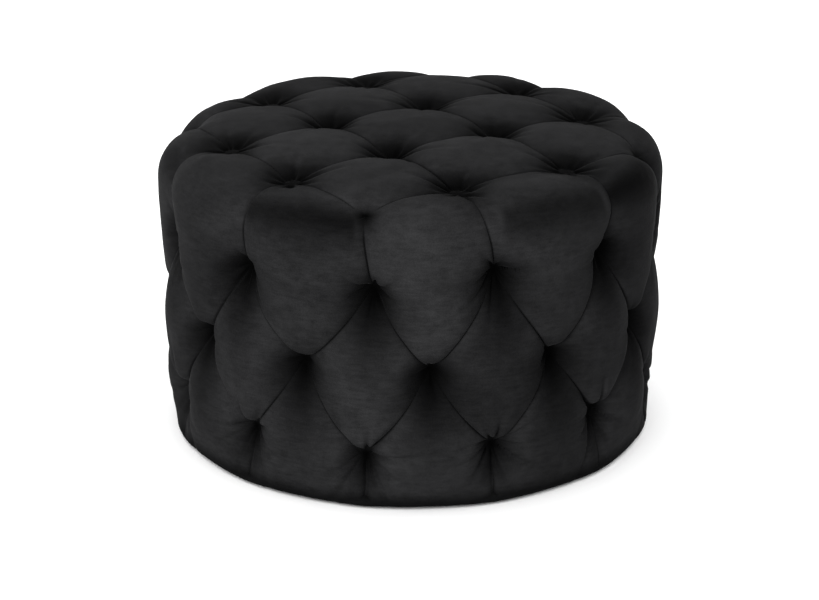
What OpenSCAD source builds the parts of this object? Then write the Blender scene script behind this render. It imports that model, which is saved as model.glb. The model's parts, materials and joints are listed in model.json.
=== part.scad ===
// Round pouffe with a deep-buttoned velvet cover on a plywood drum frame.
// Millimetres, +Z up. The origin is on the floor, under the middle of the pouffe.
// Angles round the drum are counted from -Y, positive towards +X.

/* [Overall] */
// Widest diameter over the cover
overall_d = 660; // [550:2:800]
// Height from the floor to the top of the cover
overall_h = 406; // [338:2:500]
// How far the cover draws in at the floor, on each side
base_draw_in = 14.5; // [6:0.5:24]
// Height of the widest ring above the floor
widest_z = 250; // [200:5:280]
// Radius of the top edge
rim_r = 68; // [50:1:80]

/* [Soft layers] */
// Thickness of the velvet cover with its backing
cover_t = 1.6; // [1:0.1:2.4]
// Thickness of the wadding
wadding_t = 6; // [4:0.5:9]
// Thickness of the seat foam
top_foam_t = 60; // [48:1:80]
// Thickness of the foam round the side
side_foam_t = 36; // [28:1:46]
// Foam left under the bottom of a side tuft
side_tuft_floor_t = 4; // [3:0.5:8]
// Depth of a top tuft below the top of the cover
top_tuft_depth = 22; // [14:1:30]
// Width the cover is turned in under the base
hem_turn = 70; // [56:1:76]

/* [Tufting] */
// Distance of the outer ring of top tufts in from the widest ring
top_tuft_inset = 89; // [82:1:100]
// Distance of the upper row of side tufts below the top
upper_row_drop = 114; // [104:1:130]
// Height of the lower row of side tufts above the floor
lower_row_z = 75; // [60:1:90]
// Radius of the flat bottom of a tuft
tuft_floor_r = 6; // [5:0.5:8]
// Radius of a side tuft's mouth
side_tuft_mouth_r = 38; // [24:1:40]
// Radius of a top tuft's mouth
top_tuft_mouth_r = 32; // [20:1:38]

/* [Frame] */
// Thickness of the plywood of the top board and the rings
ply_t = 18; // [12:1:24]
// Width of the plywood rings
ring_w = 60; // [50:1:76]
// Width of a post along the wall
post_w = 40; // [30:1:48]
// Depth of a post towards the middle
post_deep = 40; // [30:1:44]
// Thickness of the hardboard wall
wall_t = 3; // [2:0.5:5]
// Gap between the two wall sheets where they meet
wall_gap = 1; // [0.5:0.5:3]
// Gap between a post and its notch in the middle ring
notch_gap = 0.5; // [0.2:0.1:1]

/* [Ties] */
// Diameter of the twine
twine_d = 2.4; // [1.6:0.2:3]
// Gap round the twine in foam, wadding and washers
twine_gap = 0.4; // [0.2:0.1:1]
// Diameter of the holes drilled for the twine in the board and the wall
tie_hole_d = 8; // [6:0.5:10]
// Radius of the tab that joins the twine to the back of the cover
tab_r = 4.5; // [3.5:0.5:5]
// Thickness of that tab
tab_t = 1.5; // [1:0.5:2]
// Outer radius of a tie washer
washer_r = 12; // [9:0.5:14]
// Thickness of a tie washer
washer_t = 1.5; // [1:0.5:2]
// Gap between a tie washer and a post that it reaches, on a small drum
washer_gap = 1; // [0.5:0.5:3]
// Radius of the knot behind the washer
knot_r = 3.5; // [3:0.5:5]

/* [Fasteners] */
// Shank diameter of a frame screw
screw_d = 4; // [3.5:0.5:5]
// Length of a frame screw
screw_l = 45; // [40:1:60]
// Head diameter of a frame screw
screw_head_d = 8; // [7:0.5:9]
// Length of a staple's crown
staple_crown = 10; // [8:1:13]
// Thickness of the staple wire
staple_wire = 0.7; // [0.5:0.1:0.8]
// Length of a staple's legs
staple_leg = 8; // [6:1:10]

/* [Base] */
// Thickness of the dust cover
dust_t = 0.8; // [0.8:0.1:1.2]
// Margin between the edge of the dust cover and the wall
dust_margin = 4; // [2:1:8]
// Diameter of a glide
glide_d = 24; // [18:1:29]
// Height of a glide
glide_h = 4; // [3:0.5:8]
// Shank diameter of a glide screw
glide_screw_d = 3; // [2.5:0.5:3.5]
// Length of a glide screw
glide_screw_l = 14; // [12:1:18]
// Head diameter of a glide screw
glide_screw_head_d = 6; // [5:0.5:7]
// How far the glide screw's head is sunk below the glide's face
glide_screw_sink = 1; // [0.5:0.25:1.5]

/* [Hidden] */

// Colours
velvet_black = "#2a2a2c";
felt_black = "#1d1d1e";
foam_cream = "#e6dcb8";
wadding_white = "#f2f1ec";
ply_tan = "#cda873";
pine_pale = "#dcbf8c";
hardboard_brown = "#7d5a3a";
steel_grey = "#a7abb0";
twine_tan = "#b79a6a";

// Round shapes
round_fn = 96;
bulge_fn = 720;
small_fn = 24;
// Past a face that a cut goes through
cut = 1;

// Levels, from the floor up
hem_z = glide_h + dust_t;
frame_z = hem_z + cover_t;
base_top_z = frame_z + ply_t;
board_top_z = overall_h - cover_t - wadding_t - top_foam_t;
board_z = board_top_z - ply_t;
upper_z = overall_h - upper_row_drop;
middle_z = (upper_z + lower_row_z) / 2;
ring_z = (upper_z + middle_z) / 2 - ply_t / 2;

// Radii, from the outside in
outer_r = overall_d / 2;
base_r = outer_r - base_draw_in;
soft_t = cover_t + wadding_t;
wall_out_r = outer_r - soft_t - side_foam_t;
wall_in_r = wall_out_r - wall_t;
post_in_r = wall_in_r - post_deep;
post_mid_r = wall_in_r - post_deep / 2;
ring_in_r = wall_in_r - ring_w;
hem_in_r = base_r - hem_turn;
dust_r = wall_in_r - dust_margin;

// The side's bulge is an arc through the widest ring and the hem
bulge_r = ((widest_z - hem_z) * (widest_z - hem_z) + base_draw_in * base_draw_in) / (2 * base_draw_in);

// Tufts
columns = 12;
pitch = 360 / columns;
side_tuft_depth = side_foam_t - side_tuft_floor_t;
side_tuft_r = outer_r - side_tuft_depth;
top_tuft_z = overall_h - top_tuft_depth;
twine_hole_d = twine_d + 2 * twine_gap;
lattice = (outer_r - top_tuft_inset) / norm([0.5, 1]);
TOP_TUFTS = [
    for (i = [-1 : 0.5 : 1], j = [-1 : 0.5 : 1])
        if ((i + j) % 1 != 0) [i, j] * lattice
];

// Posts stand between the columns of tufts, and clear of the outer top tufts
posts = 8;
post_pitch = 360 / posts;
first_post = pitch / 4;

// Staples and screws under the base
cover_staples_n = 24;
dust_staples_n = 16;
cover_staple_r = wall_in_r - 9;
dust_staple_r = wall_in_r - 30;
glides = 6;
glide_r = wall_in_r - glide_d;
first_glide = pitch;
staple_clear = pitch / 4;

// ---- placing ----

// How far out a straight edge of this half length lies when its end touches a circle
function chord_r(r, half) = sqrt(r * r - half * half);

// Puts its children at an angle round the drum, with +X pointing outward
module around(angle) {
    rotate([0, 0, angle - 90]) children();
}

// Puts its children at a side tuft, with +Z pointing outward from the drum's axis
module at_side(angle, z) {
    around(angle) translate([0, 0, z]) rotate([0, 90, 0]) children();
}

// One copy for each column of a row of side tufts
module side_row(z, offset = 0) {
    for (k = [0 : columns - 1]) at_side(offset + k * pitch, z) children();
}

// One copy for each of the 36 side tufts
module side_tufts() {
    side_row(upper_z) children();
    side_row(middle_z, pitch / 2) children();
    side_row(lower_row_z) children();
}

// One copy for each top tuft, with +Z up from the floor
module top_tufts() {
    for (p = TOP_TUFTS) translate([p[0], p[1], 0]) children();
}

// One copy for each post, with +X outward
module each_post() {
    for (k = [0 : posts - 1]) around(first_post + k * post_pitch) children();
}

// One copy for each glide, with +X outward
module each_glide() {
    for (k = [0 : glides - 1]) around(first_glide + k * 360 / glides) translate([glide_r, 0, 0]) children();
}

// ---- soft body ----

// Half section of the drum, drawn in by t from the cover's outside, with its base at z0
module section(t, z0) {
    intersection() {
        union() {
            translate([0, z0]) square([outer_r - t, overall_h - rim_r - z0]);
            translate([0, z0]) square([outer_r - rim_r, overall_h - t - z0]);
            translate([outer_r - rim_r, overall_h - rim_r]) circle(rim_r - t, $fn = round_fn);
        }
        translate([outer_r - bulge_r, widest_z]) circle(bulge_r - t, $fn = bulge_fn);
        square([outer_r, overall_h]);
    }
}

// A tuft's pit: a cone with a flat floor at z = 0, grown by t into the body
module pit(mouth_r, depth, t) {
    slope = (mouth_r - tuft_floor_r) / depth;
    grown = t * sqrt(1 + slope * slope);
    top = depth + cut;
    translate([0, 0, -t])
        cylinder(h = top + t, r1 = tuft_floor_r + grown - slope * t, r2 = tuft_floor_r + grown + slope * top,
            $fn = 2 * small_fn);
}

// The whole soft body with its pits, drawn in by t
module soft_body(t, z0) {
    difference() {
        rotate_extrude($fn = round_fn) section(t, z0);
        side_tufts() translate([0, 0, side_tuft_r]) pit(side_tuft_mouth_r, side_tuft_depth, t);
        top_tufts() translate([0, 0, top_tuft_z]) pit(top_tuft_mouth_r, top_tuft_depth, t);
    }
}

// Holes for the side ties, through the wall and all that lies outside it
module side_tie_holes(d) {
    side_tufts() translate([0, 0, post_in_r]) cylinder(h = outer_r - post_in_r, d = d, $fn = small_fn);
}

// Holes for the top ties, through the board and all that lies above it
module top_tie_holes(d) {
    top_tufts() translate([0, 0, board_z - cut])
        cylinder(h = overall_h - board_z + cut, d = d, $fn = small_fn);
}

// ---- fasteners ----

// Countersunk wood screw, head flush with z = 0, pointing down
module screw(d, length, head_d) {
    head_h = (head_d - d) / 2;
    translate([0, 0, -length]) cylinder(h = length, d = d, $fn = small_fn);
    translate([0, 0, -head_h]) cylinder(h = head_h, d1 = d, d2 = head_d, $fn = small_fn);
}

// Staple with its crown along Y, flush with z = 0, legs pointing down
module staple() {
    leg_y = (staple_crown - staple_wire) / 2;
    translate([-staple_wire / 2, -staple_crown / 2, -staple_wire]) cube([staple_wire, staple_crown, staple_wire]);
    for (side = [-1, 1])
        translate([-staple_wire / 2, side * leg_y - staple_wire / 2, -staple_leg])
            cube([staple_wire, staple_wire, staple_leg]);
}

// Ring of staples driven up from below, crowns along the rim, flush with a face at height z
module base_staples(count, r, z) {
    for (k = [0 : count - 1])
        around(staple_clear + k * 360 / count) translate([r, 0, z]) rotate([180, 0, 0]) staple();
}

// Staples through the wall into a ply piece centred at height z, between the posts.
// A straight crown's ends lie on the curved wall.
module ply_staples(z) {
    seat_r = chord_r(wall_out_r, staple_crown / 2);
    each_post() rotate([0, 0, post_pitch / 2]) translate([seat_r, 0, z]) rotate([0, 90, 0]) staple();
}

// Four staples through the wall into one post, crowns upright
module post_staples() {
    seat_r = chord_r(wall_out_r, post_w / 4 + staple_wire / 2);
    for (z = [(lower_row_z + base_top_z) / 2, (middle_z + lower_row_z) / 2], side = [-1, 1])
        translate([seat_r, side * post_w / 4, z]) rotate([90, 0, 90]) staple();
}

module wall_staple_set() {
    for (z = [frame_z, ring_z, board_z]) ply_staples(z + ply_t / 2);
    each_post() post_staples();
}

// Screw down through the top board into a post
module top_screw() {
    translate([post_mid_r, 0, board_top_z]) screw(screw_d, screw_l, screw_head_d);
}

// Screw up through the base ring into a post
module base_screw() {
    translate([post_mid_r, 0, frame_z]) rotate([180, 0, 0]) screw(screw_d, screw_l, screw_head_d);
}

// Screw outward from the inner edge of the middle ring into a post
module ring_screw() {
    translate([ring_in_r, 0, ring_z + ply_t / 2]) rotate([0, -90, 0]) screw(screw_d, screw_l, screw_head_d);
}

module glide_screw_set() {
    each_glide() translate([0, 0, glide_screw_sink]) rotate([180, 0, 0])
        screw(glide_screw_d, glide_screw_l, glide_screw_head_d);
}

// ---- frame ----

module top_board() {
    color(ply_tan) difference() {
        translate([0, 0, board_z]) cylinder(h = ply_t, r = wall_in_r, $fn = round_fn);
        top_tie_holes(tie_hole_d);
        each_post() top_screw();
        ply_staples(board_z + ply_t / 2);
    }
}

// Plywood ring with its lower face at height z
module ply_ring(z) {
    translate([0, 0, z]) difference() {
        cylinder(h = ply_t, r = wall_in_r, $fn = round_fn);
        translate([0, 0, -cut]) cylinder(h = ply_t + 2 * cut, r = ring_in_r, $fn = round_fn);
    }
}

module middle_ring() {
    color(ply_tan) difference() {
        ply_ring(ring_z);
        each_post() translate([post_in_r - notch_gap, -post_w / 2 - notch_gap, ring_z - cut])
            cube([post_deep + 2 * notch_gap, post_w + 2 * notch_gap, ply_t + 2 * cut]);
        each_post() ring_screw();
        ply_staples(ring_z + ply_t / 2);
    }
}

module base_ring() {
    color(ply_tan) difference() {
        ply_ring(frame_z);
        each_post() base_screw();
        glide_screw_set();
        ply_staples(frame_z + ply_t / 2);
        base_staples(cover_staples_n, cover_staple_r, hem_z);
        base_staples(dust_staples_n, dust_staple_r, glide_h);
    }
}

// Room in the posts for the side washers. Only on a small drum do any reach them.
module washer_room() {
    depth = washer_t + washer_gap;
    side_tufts() translate([0, 0, side_washer_r - depth])
        cylinder(h = wall_in_r - side_washer_r + depth + cut, r = washer_r + washer_gap, $fn = 2 * small_fn);
}

// Post number k, its outer face curved to fit the wall
module post(k) {
    color(pine_pale) difference() {
        around(first_post + (k - 1) * post_pitch) difference() {
            intersection() {
                translate([post_in_r, -post_w / 2, base_top_z])
                    cube([post_deep + cut, post_w, board_z - base_top_z]);
                cylinder(h = overall_h, r = wall_in_r, $fn = round_fn);
            }
            top_screw();
            base_screw();
            ring_screw();
            post_staples();
        }
        washer_room();
    }
}

// One of the two wall sheets. Their ends meet on the first post and on the one opposite.
module wall_sheet(start) {
    half_gap = asin(wall_gap / 2 / wall_in_r);
    color(hardboard_brown) difference() {
        around(start + half_gap) rotate_extrude(angle = 180 - 2 * half_gap, $fn = round_fn)
            translate([wall_in_r, frame_z]) square([wall_t, board_top_z - frame_z]);
        side_tie_holes(tie_hole_d);
        wall_staple_set();
    }
}

module side_wall_right() {
    wall_sheet(first_post);
}

module side_wall_left() {
    wall_sheet(first_post + 180);
}

// ---- soft layers ----

module top_foam() {
    color(foam_cream) difference() {
        intersection() {
            soft_body(soft_t, frame_z);
            translate([0, 0, board_top_z]) cylinder(h = top_foam_t, r = outer_r, $fn = round_fn);
        }
        top_tie_holes(twine_hole_d);
    }
}

module side_foam() {
    color(foam_cream) difference() {
        intersection() {
            soft_body(soft_t, frame_z);
            translate([0, 0, frame_z]) cylinder(h = board_top_z - frame_z, r = outer_r, $fn = round_fn);
        }
        cylinder(h = overall_h, r = wall_out_r, $fn = round_fn);
        side_tie_holes(twine_hole_d);
    }
}

// The ties' tabs lie in the wadding, against the back of the cover
module tab_recess() {
    translate([0, 0, -cover_t - tab_t]) cylinder(h = tab_t + cut, r = tab_r, $fn = small_fn);
}

module wadding() {
    color(wadding_white) difference() {
        soft_body(cover_t, frame_z);
        soft_body(soft_t, frame_z - cut);
        side_tie_holes(twine_hole_d);
        top_tie_holes(twine_hole_d);
        side_tufts() translate([0, 0, side_tuft_r]) tab_recess();
        top_tufts() translate([0, 0, top_tuft_z]) tab_recess();
    }
}

module cover() {
    color(velvet_black) difference() {
        soft_body(0, hem_z);
        soft_body(cover_t, frame_z);
        cylinder(h = frame_z + cut, r = hem_in_r, $fn = round_fn);
        base_staples(cover_staples_n, cover_staple_r, hem_z);
        base_staples(dust_staples_n, dust_staple_r, glide_h);
        glide_screw_set();
    }
}

// ---- ties ----

// Twine from the knot at z = inner to the tab behind a tuft's floor at z = outer
module tie(inner, outer) {
    back = outer - cover_t;
    // The knot sits in the mouth of the washer's hole
    knot_z = inner - chord_r(knot_r, twine_hole_d / 2);
    translate([0, 0, knot_z]) cylinder(h = back - knot_z, d = twine_d, $fn = small_fn);
    translate([0, 0, knot_z]) sphere(r = knot_r, $fn = small_fn);
    translate([0, 0, back - tab_t]) cylinder(h = tab_t, r = tab_r, $fn = small_fn);
}

// A flat washer bears on the concave wall with its two edges
side_washer_r = chord_r(wall_in_r, washer_r);

module washer() {
    difference() {
        cylinder(h = washer_t, r = washer_r, $fn = 2 * small_fn);
        translate([0, 0, -cut]) cylinder(h = washer_t + 2 * cut, d = twine_hole_d, $fn = small_fn);
    }
}

module side_tie() {
    tie(side_washer_r - washer_t, side_tuft_r);
}

module top_ties() {
    color(twine_tan) top_tufts() tie(board_z - washer_t, top_tuft_z);
}

module upper_ties() {
    color(twine_tan) side_row(upper_z) side_tie();
}

module middle_ties() {
    color(twine_tan) side_row(middle_z, pitch / 2) side_tie();
}

module lower_ties() {
    color(twine_tan) side_row(lower_row_z) side_tie();
}

module top_washers() {
    color(steel_grey) top_tufts() translate([0, 0, board_z - washer_t]) washer();
}

module side_washers() {
    color(steel_grey) side_tufts() translate([0, 0, side_washer_r - washer_t]) washer();
}

// ---- fastener nodes ----

module top_screws() {
    color(steel_grey) each_post() top_screw();
}

module ring_screws() {
    color(steel_grey) each_post() ring_screw();
}

module base_screws() {
    color(steel_grey) each_post() base_screw();
}

module wall_staples() {
    color(steel_grey) wall_staple_set();
}

module cover_staples() {
    color(steel_grey) base_staples(cover_staples_n, cover_staple_r, hem_z);
}

module dust_staples() {
    color(steel_grey) base_staples(dust_staples_n, dust_staple_r, glide_h);
}

module glide_screws() {
    color(steel_grey) glide_screw_set();
}

// ---- base ----

module dust_cover() {
    color(felt_black) difference() {
        translate([0, 0, glide_h]) cylinder(h = dust_t, r = dust_r, $fn = round_fn);
        base_staples(dust_staples_n, dust_staple_r, glide_h);
        glide_screw_set();
    }
}

// Glide number k, with a countersunk hole for its screw
module glide(k) {
    if (k <= glides)
        color(felt_black) difference() {
            around(first_glide + (k - 1) * 360 / glides) translate([glide_r, 0, 0])
                cylinder(h = glide_h, d = glide_d, $fn = 2 * small_fn);
            glide_screw_set();
            each_glide() translate([0, 0, -cut])
                cylinder(h = cut + glide_screw_sink, d = glide_screw_head_d, $fn = small_fn);
        }
}

top_board();
middle_ring();
base_ring();
post(1);  // post_1
post(2);  // post_2
post(3);  // post_3
post(4);  // post_4
post(5);  // post_5
post(6);  // post_6
post(7);  // post_7
post(8);  // post_8
side_wall_left();
side_wall_right();
top_foam();
side_foam();
wadding();
cover();
top_ties();
upper_ties();
middle_ties();
lower_ties();
top_washers();
side_washers();
top_screws();
ring_screws();
base_screws();
wall_staples();
cover_staples();
dust_cover();
dust_staples();
glide(1);  // glide_1
glide(2);  // glide_2
glide(3);  // glide_3
glide(4);  // glide_4
glide(5);  // glide_5
glide(6);  // glide_6
glide_screws();
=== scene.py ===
"""Visual model of a round, deep-buttoned velvet pouffe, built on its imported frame.

The cover is one height field over a rounded drum. The drum is unrolled into a flat chart, the pleats
divide the chart into panels, and each point lies below the drum by a depth that grows towards the
pleats and the tufts. Wadding and foam follow the same field, further in.
"""

import json  # noqa: E402
import logging  # noqa: E402
import math  # noqa: E402
from dataclasses import dataclass  # noqa: E402
from enum import Enum  # noqa: E402

import bmesh  # noqa: E402
import bpy  # noqa: E402
import numpy as np  # noqa: E402
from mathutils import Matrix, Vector  # noqa: E402


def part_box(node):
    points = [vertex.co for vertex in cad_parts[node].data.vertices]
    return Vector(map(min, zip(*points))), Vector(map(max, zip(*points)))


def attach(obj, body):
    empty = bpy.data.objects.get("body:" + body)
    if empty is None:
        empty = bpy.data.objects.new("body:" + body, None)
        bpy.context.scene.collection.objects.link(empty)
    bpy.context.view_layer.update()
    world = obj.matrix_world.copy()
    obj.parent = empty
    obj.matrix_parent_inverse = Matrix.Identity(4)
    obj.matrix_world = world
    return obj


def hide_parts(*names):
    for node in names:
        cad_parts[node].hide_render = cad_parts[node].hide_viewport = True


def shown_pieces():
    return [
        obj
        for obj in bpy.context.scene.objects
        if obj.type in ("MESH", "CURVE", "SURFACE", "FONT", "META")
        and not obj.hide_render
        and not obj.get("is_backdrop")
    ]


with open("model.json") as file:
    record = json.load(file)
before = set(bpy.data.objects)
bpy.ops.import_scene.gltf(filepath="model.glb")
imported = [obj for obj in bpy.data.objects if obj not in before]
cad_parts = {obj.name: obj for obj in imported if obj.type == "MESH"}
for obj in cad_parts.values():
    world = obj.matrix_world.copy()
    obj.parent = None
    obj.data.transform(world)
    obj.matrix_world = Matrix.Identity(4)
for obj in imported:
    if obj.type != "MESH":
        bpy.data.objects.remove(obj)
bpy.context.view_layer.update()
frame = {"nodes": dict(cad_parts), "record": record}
LOG = logging.getLogger("pouffe")
Array = np.ndarray
RING_W = 0.056  # from the edge of the dust cover to the inner edge of the ring above it
COLUMNS = 12  # columns of tufts round the side, each with a pleat down to the hem
STEP = 2 * math.pi / COLUMNS


# ---------------------------------------------------------------------------------------------------
# Small helpers
# ---------------------------------------------------------------------------------------------------


def smoothstep(x: Array, low: float, high: float) -> Array:
    """Ramp from 0 at low to 1 at high, with level ends.

    Args:
        x: Values to ramp.
        low: Where the ramp starts.
        high: Where it ends.

    Returns:
        3t^2 - 2t^3, with t the clipped share of the way from low to high.
    """
    t = np.clip((x - low) / (high - low), 0.0, 1.0)
    return t * t * (3.0 - 2.0 * t)


def distance_to_line(points: Array, line: Array) -> Array:
    """Shortest distance from each point to a polyline.

    Args:
        points: (n, 3) points.
        line: (m, 3) points of the polyline.

    Returns:
        (n,) distances: each point is dropped on every segment, and the nearest foot counts.
    """
    start, along = line[:-1], np.diff(line, axis=0)
    offset = points[:, None, :] - start[None]
    share = (offset * along).sum(2) / (along * along).sum(1)
    foot = offset - np.clip(share, 0.0, 1.0)[..., None] * along
    return np.sqrt((foot * foot).sum(2).min(1))


def to_triangles(quads: Array) -> Array:
    """Split each quad into two triangles."""
    return np.concatenate([quads[:, [0, 1, 2]], quads[:, [0, 2, 3]]])


def make_mesh(name: str, points: Array, groups: list[Array], smooth: bool = True) -> bpy.types.Mesh:
    """Make a mesh.

    Args:
        name: Name of the mesh.
        points: (n, 3) vertices in metres.
        groups: Arrays of (m, 3) or (m, 4) vertex numbers.
        smooth: Whether its faces are shaded smooth.

    Returns:
        The new mesh.
    """
    mesh = bpy.data.meshes.new(name)
    sizes = np.concatenate([np.full(len(g), g.shape[1]) for g in groups])
    loops = np.concatenate([g.ravel() for g in groups])
    mesh.vertices.add(len(points))
    mesh.vertices.foreach_set("co", np.ascontiguousarray(points, dtype=np.float32).ravel())
    mesh.loops.add(len(loops))
    mesh.loops.foreach_set("vertex_index", loops.astype(np.int32))
    mesh.polygons.add(len(sizes))
    starts = np.concatenate([[0], np.cumsum(sizes)[:-1]])
    mesh.polygons.foreach_set("loop_start", starts.astype(np.int32))
    mesh.polygons.foreach_set("use_smooth", np.full(len(sizes), smooth))
    mesh.update(calc_edges=True)
    mesh.validate()
    return mesh


def make_object(name: str, points: Array, groups: list[Array], smooth: bool = True) -> bpy.types.Object:
    """Make a mesh object at the origin, linked to the scene. The arguments are make_mesh's."""
    obj = bpy.data.objects.new(name, make_mesh(name, points, groups, smooth))
    bpy.context.scene.collection.objects.link(obj)
    return obj


# ---------------------------------------------------------------------------------------------------
# The drum and its tufts
# ---------------------------------------------------------------------------------------------------


@dataclass(frozen=True)
class DrumSizes:
    """Sizes of the upholstered drum, read from the frame, in metres."""

    outer_r: float
    top_z: float
    hem_z: float
    hem_in_r: float
    wall_r: float
    board_z: float
    frame_z: float
    side_tuft_r: float
    top_tuft_z: float
    lattice: float
    row_z: tuple[float, float, float]
    rim_r: float = 0.068
    rim_power: float = 2.25
    crown_rise: float = 0.004
    crown_drop: float = 0.010
    draw_in: float = 0.0075
    straight: float = 0.50  # how far the foot goes from a circle to straight sides between pleats
    straight_from: float = 0.080  # distance above the hem over which it does
    widest_z: float = 0.25
    hem_r: float = 0.007
    cover_t: float = 0.0016
    wadding_t: float = 0.006
    tab_r: float = 0.0045
    dust_overlap: float = 0.0339
    hem_sag: float = 0.0026
    hem_sag_in: float = 0.016

    @classmethod
    def from_frame(cls) -> "DrumSizes":
        """Read the sizes off the boxes of the CAD nodes."""
        cover_low, cover_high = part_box("cover")
        wall_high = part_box("side_wall_right")[1]
        board_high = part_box("top_board")[1]
        dust_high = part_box("dust_cover")[1]
        ties_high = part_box("top_ties")[1]
        rows = [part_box(f"{name}_ties") for name in ("upper", "middle", "lower")]
        return cls(
            outer_r=float(cover_high[0]),
            top_z=float(cover_high[2]),
            hem_z=float(cover_low[2]),
            hem_in_r=float(dust_high[0]) - cls.dust_overlap,
            wall_r=float(wall_high[0]),
            board_z=float(board_high[2]),
            frame_z=float(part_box("base_ring")[0][2]),
            side_tuft_r=float(rows[0][1][0]) + cls.cover_t,
            top_tuft_z=float(ties_high[2]) + cls.cover_t,
            lattice=float(ties_high[0]) - cls.tab_r,
            row_z=tuple(float(low[2] + high[2]) / 2 for low, high in rows),
        )


class Drum:
    """The smooth drum that the pillows just touch, as a half section turned about the axis."""

    def __init__(self, sizes: DrumSizes) -> None:
        """Trace the section from the middle of the top, over the rim and down, and in under the hem.

        The top is crowned: it falls with the square of the radius. The rim is a quarter of a
        superellipse, a little squarer than a circle. The side draws in with the square of the drop.
        """
        self.sizes = sizes
        s = sizes
        rim = np.linspace(math.pi / 2, 0, 60)
        rim_start, rim_foot = s.outer_r - s.rim_r, s.top_z - s.rim_r
        top_r = np.linspace(0, rim_start, 60)[:-1]
        rim_top = s.top_z + s.crown_rise - s.crown_drop
        low_z = s.hem_z - s.hem_sag
        side_z = np.linspace(s.top_z - s.rim_r, low_z + s.hem_r, 200)[1:]
        drop = np.clip((s.widest_z - side_z) / (s.widest_z - s.hem_z), 0, None)
        side_r = s.outer_r - s.draw_in * drop**2
        hem = np.linspace(0, -math.pi / 2, 24)[1:]
        under_r = np.linspace(side_r[-1] - s.hem_r, s.hem_in_r, 20)[1:]
        r = np.concatenate([
            top_r,
            rim_start + s.rim_r * np.cos(rim).clip(0) ** (2 / s.rim_power),
            side_r,
            side_r[-1] - s.hem_r + s.hem_r * np.cos(hem),
            under_r,
        ])
        z = np.concatenate([
            s.top_z + s.crown_rise - s.crown_drop * (top_r / rim_start) ** 2,
            rim_foot + (rim_top - rim_foot) * np.sin(rim) ** (2 / s.rim_power),
            side_z,
            low_z + s.hem_r + s.hem_r * np.sin(hem),
            low_z + s.hem_sag * smoothstep(under_r[0] - under_r, 0.0, s.hem_sag_in),
        ])
        self.rho = np.concatenate([[0], np.cumsum(np.hypot(np.diff(r), np.diff(z)))])
        self.r, self.z = r, z
        slope_r, slope_z = np.gradient(r, self.rho), np.gradient(z, self.rho)
        length = np.hypot(slope_r, slope_z)
        self.tangent_r, self.tangent_z = slope_r / length, slope_z / length
        self.top_count = len(top_r) + len(rim)
        self.side_start = self.rho[self.top_count - 1]
        self.side_end = self.rho[self.top_count - 1 + len(side_z)]
        self.end = self.rho[-1]

    def rho_at_z(self, z: Array) -> Array:
        """Distance along the section to a height on the side."""
        side = (self.rho >= self.side_start - 1e-9) & (self.rho <= self.side_end)
        return np.interp(-np.asarray(z), -self.z[side], self.rho[side])

    def place(self, chart: Array, depth: Array, lean: float) -> Array:
        """Put chart points on the drum and sink them.

        Args:
            chart: (n, 2) chart points: distance from the middle along the section, and bearing.
            depth: (n,) depth below the drum.
            lean: How far a sunk point on the side also moves back up the section, as a share of depth.

        Returns:
            (n, 3) points: the drum's point, less depth times the normal, plus lean times depth upward.
        """
        rho = np.hypot(chart[:, 0], chart[:, 1])
        safe = np.maximum(rho, 1e-9)
        direction = chart / safe[:, None]
        r, z = np.interp(rho, self.rho, self.r), np.interp(rho, self.rho, self.z)
        tr, tz = np.interp(rho, self.rho, self.tangent_r), np.interp(rho, self.rho, self.tangent_z)
        back = lean * self.lean_share(rho) * depth
        r = r * self._straightened(chart, rho)
        r = r + tz * depth - tr * back
        z = z - tr * depth - tz * back
        return np.column_stack([direction * r[:, None], z])

    def _straightened(self, chart: Array, rho: Array) -> Array:
        """Share of the radius that is left where the foot is straightened between the pleats.

        Args:
            chart: (n, 2) chart points.
            rho: (n,) their distance from the middle along the section.

        Returns:
            1 above the foot and at each pleat. Between two pleats the straight line that joins them
            has the radius cos(half a step) over cos(angle to the line's middle), and part of the
            way there is taken, more towards the hem.
        """
        half = STEP / 2
        bearing = np.arctan2(chart[:, 0], -chart[:, 1])
        off_pleat = np.abs((bearing + half) % STEP - half)
        chord = math.cos(half) / np.cos(half - off_pleat)
        low = smoothstep(rho, self.side_end - self.sizes.straight_from, self.side_end)
        return 1 - self.sizes.straight * low * (1 - chord)

    def lean_share(self, rho: Array) -> Array:
        """Share of the lean at a distance along the section: none on top, all of it on the side."""
        middle_of_rim = self.side_start - self.sizes.rim_r * 0.6
        return smoothstep(rho, middle_of_rim, self.side_start + 0.03)


class Kind(Enum):
    """Where a knot of the pleat net lies."""

    TOP = "top"
    NOTCH = "notch"
    UPPER = "upper"
    MIDDLE = "middle"
    LOWER = "lower"
    HEM = "hem"


@dataclass
class Knot:
    """A point where pleats meet."""

    kind: Kind
    chart: Array
    depth: float
    tab: Array | None = None


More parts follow.
